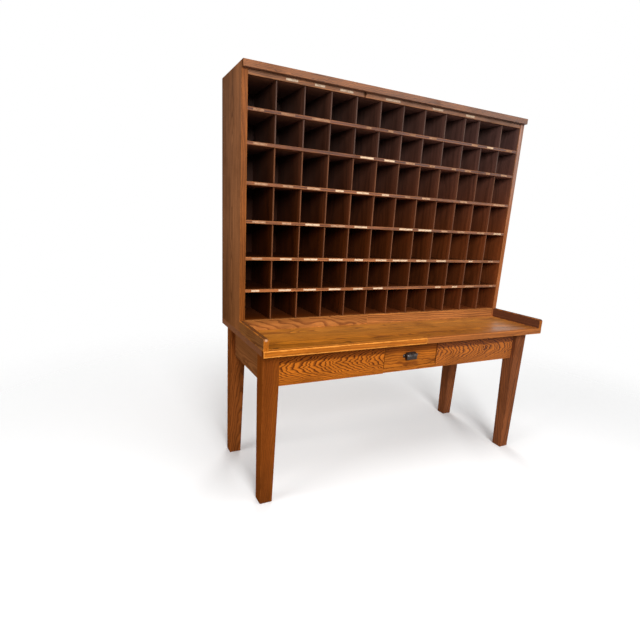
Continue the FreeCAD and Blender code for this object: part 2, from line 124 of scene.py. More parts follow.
def swing(tree, vector, stretch, detail=2.0):
    """The same noise, moved to swing evenly about 0."""
    return calc(tree, "SUBTRACT", noise(tree, vector, stretch, detail), 0.5)


def mix_colour(tree, share, first, second, blend="MIX"):
    """Two colours mixed by share."""
    made = add(tree, "ShaderNodeMix", data_type="RGBA", blend_type=blend)
    for place, value in ((0, share), (6, first), (7, second)):
        feed(tree, made.inputs[place], value)
    return made.outputs[2]


def bumped(tree, strength, distance, height):
    """The normal of a surface roughened by a height."""
    made = add(tree, "ShaderNodeBump", strength, distance)
    feed(tree, made.inputs["Height"], height)
    return made.outputs[0]


def rgba(colour, level=1.0):
    """A colour at a level, with full cover."""
    return (*(part * level for part in colour), 1.0)


def new_group(name, inputs, outputs, out_kind="value"):
    """An empty shader group. Each input has its usual value, or says that it is a vector or colour."""
    tree = bpy.data.node_groups.new(name, "ShaderNodeTree")
    kinds = {"value": "NodeSocketFloat", "vector": "NodeSocketVector", "colour": "NodeSocketColor"}
    for label, usual in inputs.items():
        kind = usual if usual in kinds else "value"
        socket = tree.interface.new_socket(name=label, in_out="INPUT", socket_type=kinds[kind])
        if kind == "value":
            socket.default_value = usual
    for label in outputs:
        tree.interface.new_socket(name=label, in_out="OUTPUT", socket_type=kinds[out_kind])
    return tree, tree.nodes.new("NodeGroupInput").outputs, tree.nodes.new("NodeGroupOutput").inputs


def use_group(tree, group, **values):
    """Places a group in a tree and feeds its inputs by name."""
    made = tree.nodes.new("ShaderNodeGroup")
    made.node_tree = group
    feed_named(tree, made.inputs, **values)
    return made.outputs


# ------------------------ the oak's figure
def make_oak_figure():
    """Growth rings are tubes round a pith that runs along the grain: their radius is the root of
    across squared plus depth squared. Slow noise makes the lines wander, the pores are dashes in the
    dark half of each ring, and the rays are thin leaves that stand out from the pith."""
    tree, given, out = new_group(
        "oak_figure",
        {"Vector": "vector", "Seed": 0.0, "Ring": 0.004, "Run Out": 0.0, "Lean": 0.0, "Wander": 0.02,
         "Curl": 0.001, "Curl Size": 0.02, "Ripple": 0.0, "Ripple Size": 0.012, "Flat Half": 0.2,
         "Swirl": 0.0, "Dark Half": 0.45},
        ["Rings", "Pores", "Rays", "Tone", "Height"])
    shift = scale_vector(tree, (0.137, 0.291, 0.173), given["Seed"])
    place = vec(tree, "ADD", given["Vector"], shift)
    other_place = vec(tree, "ADD", place, (3.1, 7.7, 1.9))
    along, across, depth = split(tree, given["Vector"])
    across = calc(tree, "MULTIPLY_ADD", swing(tree, place, (1.6, 3.0, 3.0)), given["Wander"], across)
    depth = calc(tree, "MULTIPLY_ADD", swing(tree, other_place, (2.6, 2.0, 2.0)), given["Wander"], depth)
    radius = curled(tree, given, place, cut_radius(tree, given, along, across, depth))
    rings = ring_halves(tree, given, radius)
    pores = pore_dashes(tree, place, rings)
    rays = ray_leaves(tree, shift, along, across, depth, radius)
    tone = board_tone(tree, place)
    height = calc(tree, "MULTIPLY_ADD", rings, -0.35, 0.5)
    height = calc(tree, "MULTIPLY_ADD", pores, -0.5, height)
    feed_named(tree, out, Rings=rings, Pores=pores, Rays=rays, Tone=tone, Height=height)
    return tree


def cut_radius(tree, given, along, across, depth):
    """The distance from the pith. Run-out adds to it along the grain, so that a flat face cuts the tubes
    in arches, and lean adds to it across the face, so that one arm of an arch is steeper than the other.
    Flat half is how far the flat-sawn figure reaches: beyond it a fourth power crowds the lines."""
    radius = vec(tree, "LENGTH", join(tree, across, depth, 0.0))
    radius = calc(tree, "MULTIPLY_ADD", along, given["Run Out"], radius)
    radius = calc(tree, "MULTIPLY_ADD", across, given["Lean"], radius)
    reach = calc(tree, "ABSOLUTE", calc(tree, "DIVIDE", across, given["Flat Half"]))
    return calc(tree, "MULTIPLY_ADD", calc(tree, "POWER", reach, 4.0), 0.01, radius)


def curled(tree, given, place, radius):
    """Quick noise curls the lines, noise drawn out along the grain gives neighbouring lines the same
    ripples, and a knot's swirl pushes them outward."""
    for kind, stretch in (("Curl", (0.7, 1.3, 1.3)), ("Ripple", (0.22, 1.0, 0.3))):
        scaled_place = scale_vector(tree, place, calc(tree, "DIVIDE", 1.0, given[kind + " Size"]))
        wave = swing(tree, scaled_place, stretch, detail=1.5)
        radius = calc(tree, "MULTIPLY_ADD", wave, calc(tree, "MULTIPLY", given[kind], 2.0), radius)
    return calc(tree, "ADD", radius, given["Swirl"])


def ring_halves(tree, given, radius):
    """1 in the dark porous half of a ring and 0 in its hard half. The dark starts sharply and has faded
    out a little past Dark Half. Slow noise along the radius makes good years and poor years."""
    count = calc(tree, "DIVIDE", radius, given["Ring"])
    years = add(tree, "ShaderNodeTexNoise", noise_dimensions="1D")
    feed_named(tree, years.inputs, W=calc(tree, "MULTIPLY", count, 0.31), Scale=1.0)
    count = calc(tree, "MULTIPLY_ADD", years.outputs[0], 1.6, count)
    part = calc(tree, "FRACT", count)
    fall = ramp(tree, part, 0.06, calc(tree, "ADD", given["Dark Half"], 0.12), 1.0, 0.0)
    rise = ramp(tree, part, 0.90, 1.0)
    return calc(tree, "MAXIMUM", fall, rise, clamp=True)


def pore_dashes(tree, place, rings):
    """Short dashes along the grain, four times as strong in the dark half of a ring."""
    dashes = ramp(tree, noise(tree, place, (95.0, 1500.0, 1500.0), detail=1.0), 0.53, 0.66)
    return calc(tree, "MULTIPLY", dashes, calc(tree, "MULTIPLY_ADD", rings, 0.75, 0.25))


def ray_leaves(tree, shift, along, across, depth, radius):
    """Thin leaves that stand out from the pith: noise that changes quickly with the angle round it,
    and slowly along the grain and outward."""
    angle = calc(tree, "MULTIPLY", calc(tree, "ARCTAN2", across, depth), 45.0)
    leaf_along = calc(tree, "MULTIPLY", along, 38.0)
    leaf_outward = calc(tree, "MULTIPLY", radius, 55.0)
    leaf_place = vec(tree, "ADD", join(tree, leaf_along, angle, leaf_outward), shift)
    return ramp(tree, noise(tree, leaf_place, (1.0, 1.0, 1.0), detail=1.0), 0.60, 0.68)


def board_tone(tree, place):
    """Slow, middling and quick changes of tone, each drawn out along the grain."""
    tone = 0.0
    for share, along, across in ((0.35, 1.9, 14.0), (0.40, 4.0, 42.0), (0.25, 11.0, 150.0)):
        streaks = noise(tree, place, (along, across, across))
        tone = calc(tree, "MULTIPLY_ADD", streaks, share, tone)
    return ramp(tree, tone, 0.3, 0.7, smooth=False)


# ------------------------ shared effects
def make_oak_stain():
    """Stain takes differently: the porous half of each ring drinks most and the hard half stays light,
    with slow changes of tone along the board and dirt held in the pores."""
    tree, given, out = new_group(
        "oak_stain",
        {"Rings": 0.0, "Pores": 0.0, "Rays": 0.0, "Tone": 0.5, "Light": "colour", "Dark": "colour",
         "Contrast": 0.6, "Drift of Tone": 0.3, "Pore Dirt": 0.4},
        ["Color"], "colour")
    dirt_tint = rgba((0.45, 0.4, 0.38))
    ray_share = 0.22
    share = calc(tree, "MULTIPLY", given["Rings"], given["Contrast"])
    colour = mix_colour(tree, share, given["Light"], given["Dark"])
    dirt = calc(tree, "MULTIPLY", given["Pores"], given["Pore Dirt"])
    dark_pore = mix_colour(tree, 1.0, given["Dark"], dirt_tint, "MULTIPLY")
    colour = mix_colour(tree, dirt, colour, dark_pore)
    colour = mix_colour(tree, calc(tree, "MULTIPLY", given["Rays"], ray_share), colour, given["Dark"])
    drift = calc(tree, "MULTIPLY", calc(tree, "SUBTRACT", given["Tone"], 0.5), given["Drift of Tone"])
    level = calc(tree, "ADD", drift, 1.0)
    colour = mix_colour(tree, 1.0, colour, join(tree, level, level, level), "MULTIPLY")
    feed_named(tree, out, Color=colour)
    return tree


def make_edge_wear():
    """How near a point lies to a board's arris. The board is a box: the distance inward from each pair
    of faces is half its size less the distance from its middle, and the middle one of the three
    distances is the way to the nearest arris. Noise breaks the band up as far as Patchy says."""
    tree, given, out = new_group(
        "edge_wear",
        {"Vector": "vector", "Middle": "vector", "Half Size": "vector", "Width": 0.004, "Patchy": 0.85,
         "Seed": 0.0},
        ["Worn"])
    from_middle = vec(tree, "ABSOLUTE", vec(tree, "SUBTRACT", given["Vector"], given["Middle"]))
    inward = split(tree, vec(tree, "SUBTRACT", given["Half Size"], from_middle))
    lesser = calc(tree, "MINIMUM", inward[0], inward[1])
    greater = calc(tree, "MAXIMUM", inward[0], inward[1])
    way = calc(tree, "MAXIMUM", lesser, calc(tree, "MINIMUM", greater, inward[2]))
    seed_shift = scale_vector(tree, (1.7, 2.3, 0.9), given["Seed"])
    patches = noise(tree, vec(tree, "ADD", given["Vector"], seed_shift), (38.0, 38.0, 38.0), detail=3.0)
    missing = calc(tree, "MULTIPLY", ramp(tree, patches, 0.35, 0.7, 1.0, 0.0), given["Patchy"])
    reach = calc(tree, "MULTIPLY", given["Width"], calc(tree, "SUBTRACT", 1.0, missing))
    near = calc(tree, "DIVIDE", way, reach)
    feed_named(tree, out, Worn=ramp(tree, near, 0.4, 1.0, 1.0, 0.0))
    return tree


def make_inside_stain():
    """The dark, unpolished room of the compartments: Inside is 1 within the case, and 0 on its outer faces
    and on the boards' front edges. Deep is 0 just behind the front, where hands rub. Upper rises from 0 to
    1 towards the top rows, Right towards the right end, and Sooty towards the back, where it carries
    painted shade in the low rows and grey dust in the high ones."""
    tree, given, out = new_group(
        "inside_stain",
        {"Vector": "vector", "Front": room_start, "Half Length": case_half_inside + 0.0012,
         "Rubbed Depth": 0.02},
        ["Inside", "Deep", "Upper", "Right", "Sooty"])
    sideways, back, up = split(tree, given["Vector"])
    lowest = row_floors[-1]
    behind = calc(tree, "SUBTRACT", back, given["Front"])
    from_end = calc(tree, "SUBTRACT", given["Half Length"], calc(tree, "ABSOLUTE", sideways))
    inside = ramp(tree, behind, -0.0003, 0.0003)
    for limit in (ramp(tree, from_end, -0.0006, 0.0006),
                  ramp(tree, up, lowest - 0.0005, lowest),
                  ramp(tree, up, ceiling, ceiling + 0.001, 1.0, 0.0),
                  ramp(tree, back, back_boards_front + 0.0005, back_boards_front + 0.001, 1.0, 0.0)):
        inside = calc(tree, "MULTIPLY", inside, limit)
    patches = noise(tree, given["Vector"], (25.0, 25.0, 25.0))
    unrubbed = calc(tree, "SUBTRACT", behind, calc(tree, "MULTIPLY", patches, given["Rubbed Depth"]))
    deep = calc(tree, "MULTIPLY", ramp(tree, unrubbed, -0.01, 0.02), inside)
    right = ramp(tree, sideways, -0.75, 0.75, smooth=False)
    feed_named(tree, out, Inside=inside, Deep=deep, Upper=ramp(tree, up, 1.15, 1.85), Right=right,
               Sooty=ramp(tree, behind, 0.02, 0.25))
    return tree


def make_painted_sheen():
    """A painted bluish sheen that stands in for a reflection: a slope that rises to the right end and to
    the top.
    """
    tree, given, out = new_group("painted_sheen", {"Vector": "vector", "Amount": 0.2}, ["Bloom"])
    sideways, _, up = split(tree, given["Vector"])
    rightward = ramp(tree, sideways, -0.85, 0.85, 0.0, 0.6, smooth=False)
    upward = ramp(tree, up, 0.75, 1.75, 0.0, 0.4, smooth=False)
    slope = calc(tree, "ADD", rightward, upward)
    feed_named(tree, out, Bloom=calc(tree, "MULTIPLY", slope, given["Amount"]))
    return tree


def make_grime():
    """Old handling dirt and faded varnish in soft cloudy patches."""
    tree, given, out = new_group(
        "grime", {"Vector": "vector", "Seed": 0.0, "Size": 0.16, "Amount": 0.5}, ["Grime"])
    place = vec(tree, "ADD", given["Vector"], scale_vector(tree, (0.83, 1.31, 0.57), given["Seed"]))
    place = scale_vector(tree, place, calc(tree, "DIVIDE", 1.0, given["Size"]))
    clouds = noise(tree, place, (1.0, 1.0, 1.0), detail=4.0, roughness=0.62)
    feed_named(tree, out, Grime=calc(tree, "MULTIPLY", ramp(tree, clouds, 0.45, 0.72), given["Amount"]))
    return tree


def make_knot():
    """A knot: a dark core, and round it a swirl that pushes the rings outward as a bell of the distance.
    It reaches twice as far along X as along Y, and a little farther still along Z."""
    tree, given, out = new_group(
        "knot", {"Vector": "vector", "Middle": "vector", "Size": 0.01, "Push": 0.02}, ["Core", "Swirl"])
    from_middle = vec(tree, "SUBTRACT", given["Vector"], given["Middle"])
    from_middle = vec(tree, "MULTIPLY", from_middle, (0.5, 1.0, 0.4))
    near = calc(tree, "DIVIDE", vec(tree, "LENGTH", from_middle), given["Size"])
    ragged = swing(tree, given["Vector"], (120.0, 120.0, 120.0))
    near = calc(tree, "MULTIPLY_ADD", ragged, 0.7, near)
    bell = calc(tree, "EXPONENT", calc(tree, "MULTIPLY", calc(tree, "MULTIPLY", near, near), -0.16))
    feed_named(tree, out, Core=ramp(tree, near, 0.35, 0.85, 1.0, 0.0),
               Swirl=calc(tree, "MULTIPLY", bell, given["Push"]))
    return tree


oak_figure = make_oak_figure()
oak_stain = make_oak_stain()
edge_wear = make_edge_wear()
inside_stain = make_inside_stain()
painted_sheen = make_painted_sheen()
grime = make_grime()
knot = make_knot()

# ------------------------ stains: hard half, porous half
stains = {
    "honey": ((0.500, 0.143, 0.012), (0.150, 0.030, 0.003)),
    "figured": ((0.580, 0.160, 0.012), (0.105, 0.022, 0.0035)),
    "wavy": ((0.450, 0.165, 0.038), (0.215, 0.066, 0.016)),
    "wavy_light": ((0.530, 0.195, 0.045), (0.250, 0.078, 0.019)),
    "reddish": ((0.415, 0.128, 0.025), (0.190, 0.050, 0.010)),
    "amber": ((0.470, 0.148, 0.007), (0.190, 0.048, 0.003)),
    "ledge": ((0.390, 0.122, 0.0045), (0.165, 0.041, 0.002)),
    "chestnut": ((0.225, 0.056, 0.008), (0.100, 0.024, 0.0035)),
    "warm_brown": ((0.290, 0.080, 0.016), (0.125, 0.032, 0.006)),
    "tobacco": ((0.300, 0.106, 0.030), (0.150, 0.047, 0.013)),
    "left_edge": ((0.252, 0.072, 0.012), (0.123, 0.033, 0.005)),
    "right_edge": ((0.440, 0.150, 0.052), (0.215, 0.068, 0.022)),
    "shelf_upper": ((0.240, 0.078, 0.026), (0.112, 0.033, 0.011)),
    "shelf_middle": ((0.290, 0.096, 0.030), (0.135, 0.042, 0.013)),
    "shelf_lower": ((0.380, 0.130, 0.038), (0.180, 0.056, 0.016)),
    "crown": ((0.335, 0.110, 0.024), (0.130, 0.039, 0.009)),
    "header": ((0.400, 0.150, 0.048), (0.170, 0.055, 0.016)),
    "thin_edge_high": ((0.118, 0.055, 0.034), (0.070, 0.031, 0.019)),
    "thin_edge_low": ((0.175, 0.060, 0.021), (0.110, 0.035, 0.012)),
    "inside_low_left": ((0.100, 0.021, 0.002), (0.064, 0.0125, 0.0013)),
    "inside_low_right": ((0.240, 0.060, 0.016), (0.150, 0.036, 0.009)),
    "inside_high_left": ((0.128, 0.047, 0.024), (0.084, 0.030, 0.015)),
    "inside_high_right": ((0.145, 0.070, 0.058), (0.095, 0.046, 0.037)),
    "raw": ((0.420, 0.215, 0.090), (0.250, 0.118, 0.044)),
}
straw = (0.5, 0.6, 0.2)
# The colour of the painted sheen, a bluish cast that stands in for a reflection.
milky_varnish = (0.10, 0.275, 0.35)
bare_wood = (0.60, 0.33, 0.19)
# A near-black colour for painted shade at the backs of the low compartments.
back_shade = (0.020, 0.012, 0.010)
grey_dust = (0.130, 0.095, 0.088)
axes = {"x": Vector((1, 0, 0)), "y": Vector((0, 1, 0)), "z": Vector((0, 0, 1))}


# ------------------------ one oak board
@dataclass
class Oak:
    """How one board is cut from its tree, stained and worn."""
    stain: str = "amber"
    lie: str = "xy"                 # the grain's axis, then the axis across the face
    pith: tuple = (0.0, 0.0, 0.0)   # a point on the pith's line, in the model's own frame
    ring: float = 0.004             # a year's growth
    run_out: float = 0.0            # how the rings run out of the face along the grain
    lean: float = 0.0
    wander: float = 0.02
    curl: float = 0.0008
    curl_size: float = 0.02
    ripple: float = 0.0
    ripple_size: float = 0.012
    flat_half: float = 0.2
    dark_half: float = 0.45
    knots: tuple = ()               # each has a middle, a size and a push
    seed: float = 0.0
    by_cell: bool = False           # another board in each compartment's width
    contrast: float = 0.6
    tone: float = 0.35              # how far the tone drifts along the board
    strips: tuple = ()              # each has an axis, a start, a softness and a gain past the start
    milky: float = 0.2              # how much painted sheen lies on it
    wear: float = 0.004             # width of the worn band along the arrises
    rub: float = 0.45               # how far the stain is rubbed off there
    patchy: float = 0.85
    bleach: float = 0.03            # and how straw-coloured the rubbed wood is
    seam: float = 0.0               # width of the dark line round the board
    spots: tuple = ()               # bare spots, each with a centre and a radius
    cut_end: float = 0.8            # how dark the end grain is
    end_line: float = 0.0006        # how far it shows round the end
    dirt: float = 0.25
    gloss: float = 0.04             # what is left of the varnish's shine
    rough: tuple = (0.42, 0.58)
    in_case: bool = False           # it reaches into the compartments
    room_front: float = room_start  # where their dark stain begins on it
    inner_gain: tuple = (1.0, 1.0)  # their stain's level below and above the board's middle


def start_material(name):
    """A material with its Principled shader and the object's own coordinates."""
    material = bpy.data.materials.new(name)
    material.use_nodes = True
    tree = material.node_tree
    shader = next(n for n in tree.nodes if n.type == "BSDF_PRINCIPLED")
    place = tree.nodes.new("ShaderNodeTexCoord").outputs["Object"]
    return material, tree, shader, place


def oak_material(name, box, look):
    """One board's finish: its figure and stain, shaded strips (some of them painted shade or sheen), a
    painted bluish sheen, wear, bare spots, end grain and dirt, and the dark room of the case where the
    board reaches into it."""
    material, tree, shader, place = start_material(name)
    low, high = Vector(box[0]), Vector(box[1])
    middle, half = (low + high) / 2, (high - low) / 2
    light, dark = stains[look.stain]
    figure, core = board_figure(tree, place, look)
    colour = stained(tree, figure, rgba(light), rgba(dark), look.contrast, look.tone)
    colour = with_strips(tree, place, colour, look.strips)
    # Painted sheen: a bluish cast that rises to the right end and the top.
    sheen = use_group(tree, painted_sheen, Vector=place, Amount=look.milky)["Bloom"]
    colour = mix_colour(tree, sheen, colour, rgba(milky_varnish))
    colour = with_wear(tree, place, colour, look, middle, half)
    colour = with_bare_spots(tree, place, colour, look.spots)
    at_end = end_grain(tree, place, look, middle, half)
    colour = mix_colour(tree, at_end, colour, rgba(dark, 0.85))
    dirty = use_group(tree, grime, Vector=place, Seed=look.seed + 3.0, Amount=look.dirt)["Grime"]
    colour = mix_colour(tree, dirty, colour, rgba(dark, 0.6))
    if look.knots:
        colour = mix_colour(tree, calc(tree, "MULTIPLY", core, 0.85), colour, rgba(dark, 0.25))
    if look.in_case:
        colour = with_room(tree, place, colour, figure, look, middle)
    polish = ramp(tree, figure["Tone"], 0.0, 1.0, *look.rough)
    dull = calc(tree, "MAXIMUM", calc(tree, "MULTIPLY", dirty, 0.12), at_end)
    feed_named(tree, shader.inputs, Base_Color=colour, Roughness=calc(tree, "ADD", polish, dull),
               Normal=bumped(tree, 0.5, 0.0005, figure["Height"]), Specular_IOR_Level=look.gloss)
    return material


def board_figure(tree, place, look):
    """The board's figure and its knots' cores. The board is turned so that its grain lies along the
    figure's first axis, with the pith's line through the origin."""
    grain, across = axes[look.lie[0]], axes[look.lie[1]]
    turn = Matrix((grain, across, grain.cross(across)))
    to_origin = -(turn @ Vector(look.pith))
    turned = add(tree, "ShaderNodeMapping", place, to_origin, turn.to_euler()).outputs[0]
    seed = cell_seed(tree, place, look.seed) if look.by_cell else look.seed
    swirl, core = 0.0, 0.0
    for middle, size, push in look.knots:
        one = use_group(tree, knot, Vector=place, Middle=middle, Size=size, Push=push)
        swirl = calc(tree, "ADD", swirl, one["Swirl"])
        core = calc(tree, "MAXIMUM", core, one["Core"])
    figure = use_group(tree, oak_figure, Vector=turned, Seed=seed, Ring=look.ring, Run_Out=look.run_out,
                       Lean=look.lean, Wander=look.wander, Curl=look.curl, Curl_Size=look.curl_size,
                       Ripple=look.ripple, Ripple_Size=look.ripple_size, Flat_Half=look.flat_half,
                       Swirl=swirl, Dark_Half=look.dark_half)
    return figure, core


def cell_seed(tree, place, seed):
    """A different seed for each compartment's width along X."""
    cell = calc(tree, "FLOOR", calc(tree, "MULTIPLY_ADD", split(tree, place)[0], 1 / cell_pitch, 0.5))
    return calc(tree, "MULTIPLY_ADD", cell, 1.73, seed)


def stained(tree, figure, light, dark, contrast, tone):
    """The figure's colour between a stain's hard half and its porous half."""
    return use_group(tree, oak_stain, Rings=figure["Rings"], Pores=figure["Pores"], Rays=figure["Rays"],
                     Tone=figure["Tone"], Light=light, Dark=dark, Contrast=contrast,
                     Drift_of_Tone=tone, Pore_Dirt=0.45)["Color"]


def with_strips(tree, place, colour, strips):
    """Past each strip's start along its axis, the colour is multiplied by its gain."""
    for axis, start, soft, gain in strips:
        beyond = ramp(tree, vec(tree, "DOT_PRODUCT", place, axes[axis]), start - soft, start + soft)
        gained = mix_colour(tree, 1.0, colour, rgba(gain), "MULTIPLY")
        colour = mix_colour(tree, beyond, colour, gained)
    return colour


def with_wear(tree, place, colour, look, middle, half):
    """Arrises rubbed pale and bleached, and a dark line all round where a seam is asked for."""
    light, dark = stains[look.stain]
    at_box = dict(Vector=place, Middle=middle, Half_Size=half)
    worn = use_group(tree, edge_wear, Width=look.wear, Patchy=look.patchy, Seed=look.seed, **at_box)["Worn"]
    pale = tuple(min(1.0, part * 1.45 + look.bleach * dry) for part, dry in zip(light, straw))
    colour = mix_colour(tree, calc(tree, "MULTIPLY", worn, look.rub), colour, rgba(pale))
    if look.seam:
        joint = use_group(tree, edge_wear, Width=look.seam, Patchy=0.2, **at_box)["Worn"]
        colour = mix_colour(tree, joint, colour, rgba(dark, 0.12))
    return colour


def with_bare_spots(tree, place, colour, spots):
    """Ragged round spots where the finish has gone down to the wood."""
    for centre, radius in spots:
        ragged = noise(tree, place, (150.0, 150.0, 150.0))
        way = calc(tree, "MULTIPLY_ADD", ragged, radius, vec(tree, "DISTANCE", place, centre))
        bare = ramp(tree, way, radius, radius * 1.5, 0.9, 0.0)
        colour = mix_colour(tree, bare, colour, rgba(bare_wood))
    return colour


def end_grain(tree, place, look, middle, half):
    """How much dark end grain shows: none along the board, and cut_end from the end line outward."""
    grain = axes[look.lie[0]]
    from_middle = calc(tree, "SUBTRACT", vec(tree, "DOT_PRODUCT", place, grain), middle.dot(grain))
    end = half.dot(grain)
    return ramp(tree, calc(tree, "ABSOLUTE", from_middle), end - look.end_line, end - look.end_line / 2,
                0.0, look.cut_end)


def with_room(tree, place, colour, figure, look, middle):
    """The compartments' dark stain, darkened towards the back by painted shade in the low rows and greyed
    there by dust in the high ones. Near the front a little of the board's own colour shows through."""
    room = use_group(tree, inside_stain, Vector=place, Front=look.room_front)
    wall = stained(tree, figure, room_colour(tree, room, 0), room_colour(tree, room, 1), 0.6, 0.7)
    # Towards the back the walls go to painted shade in the low rows and to grey dust in the high ones.
    back_shade_and_dust = mix_colour(tree, room["Upper"], rgba(back_shade), rgba(grey_dust))
    wall = mix_colour(tree, calc(tree, "MULTIPLY", room["Sooty"], 0.4), wall, back_shade_and_dust)
    height = vec(tree, "DOT_PRODUCT", place, axes["z"])
    # The stain's level below and above the board's middle, which paints light and shade on the shelves and
    # back boards.
    gain = ramp(tree, height, middle.z - 0.001, middle.z + 0.001, *look.inner_gain)
    wall = scale_vector(tree, wall, gain)
    handled = mix_colour(tree, 0.12, wall, colour)
    wall = mix_colour(tree, room["Deep"], handled, wall)
    return mix_colour(tree, room["Inside"], colour, wall)


def room_colour(tree, room, half):
    """The compartments' stain, for the hard half (0) or the porous half (1) of a ring."""
    rows = []
    for level in ("low", "high"):
        left, right = stains["inside_%s_left" % level], stains["inside_%s_right" % level]
        rows.append(mix_colour(tree, room["Right"], rgba(left[half]), rgba(right[half])))
    return mix_colour(tree, room["Upper"], *rows)


def dress(name, material):
    """Gives a node of the model its finish."""
    mesh = nodes[name].data
    for i in range(len(mesh.materials)):
        mesh.materials[i] = material


def board(name, arris=0.0008, **values):
    """Finishes one board of the model in its own oak and eases its arrises."""
    dress(name, oak_material(name + "_oak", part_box(name), Oak(**values)))
    if arris:
        ease(name, arris)


def ease(name, width):
    """Eases a board's arrises: its loose triangles are joined, flat faces made whole, edges rounded."""
    piece = nodes[name]
    weld = piece.modifiers.new("weld", "WELD")
    weld.merge_threshold = 0.00001
    flat = piece.modifiers.new("flat", "DECIMATE")
    flat.decimate_type = "DISSOLVE"
    flat.angle_limit = math.radians(0.5)
    bevel = piece.modifiers.new("arris", "BEVEL")
    bevel.width = width
    bevel.segments = 2
    bevel.limit_method = "ANGLE"
    bevel.angle_limit = math.radians(30)
    smooth = piece.modifiers.new("smooth", "WEIGHTED_NORMAL")
    smooth.mode = "FACE_AREA"
    smooth.weight = 100


# ------------------------ the table's boards
def finish_top():
    """The ledge: four boards, polished by years of mail, and paler towards the case."""
    past_the_front = ("y", -0.285, 0.015, (1.20, 1.20, 1.4))
    towards_the_case = ("y", -0.16, 0.10, (1.12, 1.30, 3.0))
    front_knots = (((-0.405, -0.279, top_face), 0.011, 0.02), ((0.047, -0.290, top_face), 0.007, 0.014),
                   ((-0.762, -0.290, top_face), 0.012, 0.02))
    top = dict(stain="ledge", lie="xy", ring=0.006, wander=0.05, curl=0.003, curl_size=0.05, contrast=0.8,
               tone=1.0, gloss=0.4, rough=(0.26, 0.42), arris=0, cut_end=0.9, dirt=0.45, milky=0.08,
               strips=(past_the_front, towards_the_case))
    board("top_board_1", pith=(0, -0.23, 0.69), run_out=0.012, seed=1.0, knots=front_knots, **top)
    board("top_board_2", pith=(0, -0.05, 0.67), run_out=-0.014, seed=2.0, **top)
    board("top_board_3", pith=(0, 0.09, 0.69), run_out=0.012, seed=3.0, **top)
    board("top_board_4", pith=(0, 0.25, 0.67), run_out=0.012, seed=4.0, **top)


def finish_nosing():
    """Two lengths of nosing. The left one is from another tree and more worn. Both have painted shade on
    their upper face.
    """
    # Painted shade: the upper face is darker than the front, as less light falls on it.
    painted_shade_upper_face = ("z", top_face - 0.0005, 0.0004, (0.72, 0.68, 0.5))
    nosing = dict(lie="xz", ring=0.005, contrast=0.35, tone=0.6, wear=0.008, patchy=0.5, arris=0,
                  cut_end=0.95, end_line=0.0015, milky=0.06, strips=(painted_shade_upper_face,))
    board("top_nosing_left", stain="honey", pith=(0, -0.26, 0.72), seed=5.0, rub=0.8, bleach=0.16, **nosing)
    board("top_nosing_right", stain="reddish", pith=(0, -0.26, 0.73), seed=6.0, rub=0.4, **nosing)


def finish_gallery():
    """The low rails at the ledge's ends. The left one has a bare spot on its front corner. The right one
    has painted shade on all its faces behind the front end.
    """
    left_behind_end = ("y", -0.3265, 0.0005, (0.60, 0.80, 2.6))
    left_upper_face = ("z", 0.8134, 0.0004, (0.55, 0.50, 0.45))
    # Painted shade: the right rail is darkened behind its front end, leaving the end lit.
    painted_shade_behind_right_end = ("y", -0.3268, 0.0005, (0.34, 0.38, 0.9))
    gallery = dict(lie="yz", wear=0.006, rub=0.5, arris=0.0006, cut_end=0.0, gloss=0.0)
    corner_spot = ((-0.819, -0.3275, 0.809), 0.008)
    board("gallery_left", stain="honey", pith=(-0.76, 0, 0.76), seed=7.0,
          strips=(left_behind_end, left_upper_face), spots=(corner_spot,), **gallery)
    board("gallery_right", stain="reddish", pith=(0.76, 0, 0.76), seed=8.0, milky=0.0,
          strips=(painted_shade_behind_right_end,), **gallery)


def finish_kickboards():
    """Two boards under the case's front, the left one with a bold wavy figure. Both have a painted shadow
    on their upper part.
    """
    # Painted shadow: the kickboards are darkened above this height.
    painted_shadow_on_upper_part = ("z", 0.792, 0.010, (0.82, 0.80, 0.77))
    kick = dict(lie="xz", tone=0.7, milky=0.05, strips=(painted_shadow_on_upper_part,))
    board("kickboard_left", stain="wavy", pith=(0, 0.055, 0.775), ring=0.019, run_out=0.20, lean=0.4,
          curl=0.032, curl_size=0.11, wander=0.14, ripple=0.006, ripple_size=0.02, dark_half=0.30,
          contrast=0.85, seed=9.0, **kick)
    board("kickboard_right", stain="wavy_light", pith=(0, 0.03, 0.745), ring=0.010, run_out=0.03,
          curl=0.008, curl_size=0.06, contrast=0.95, seed=10.0, **kick)


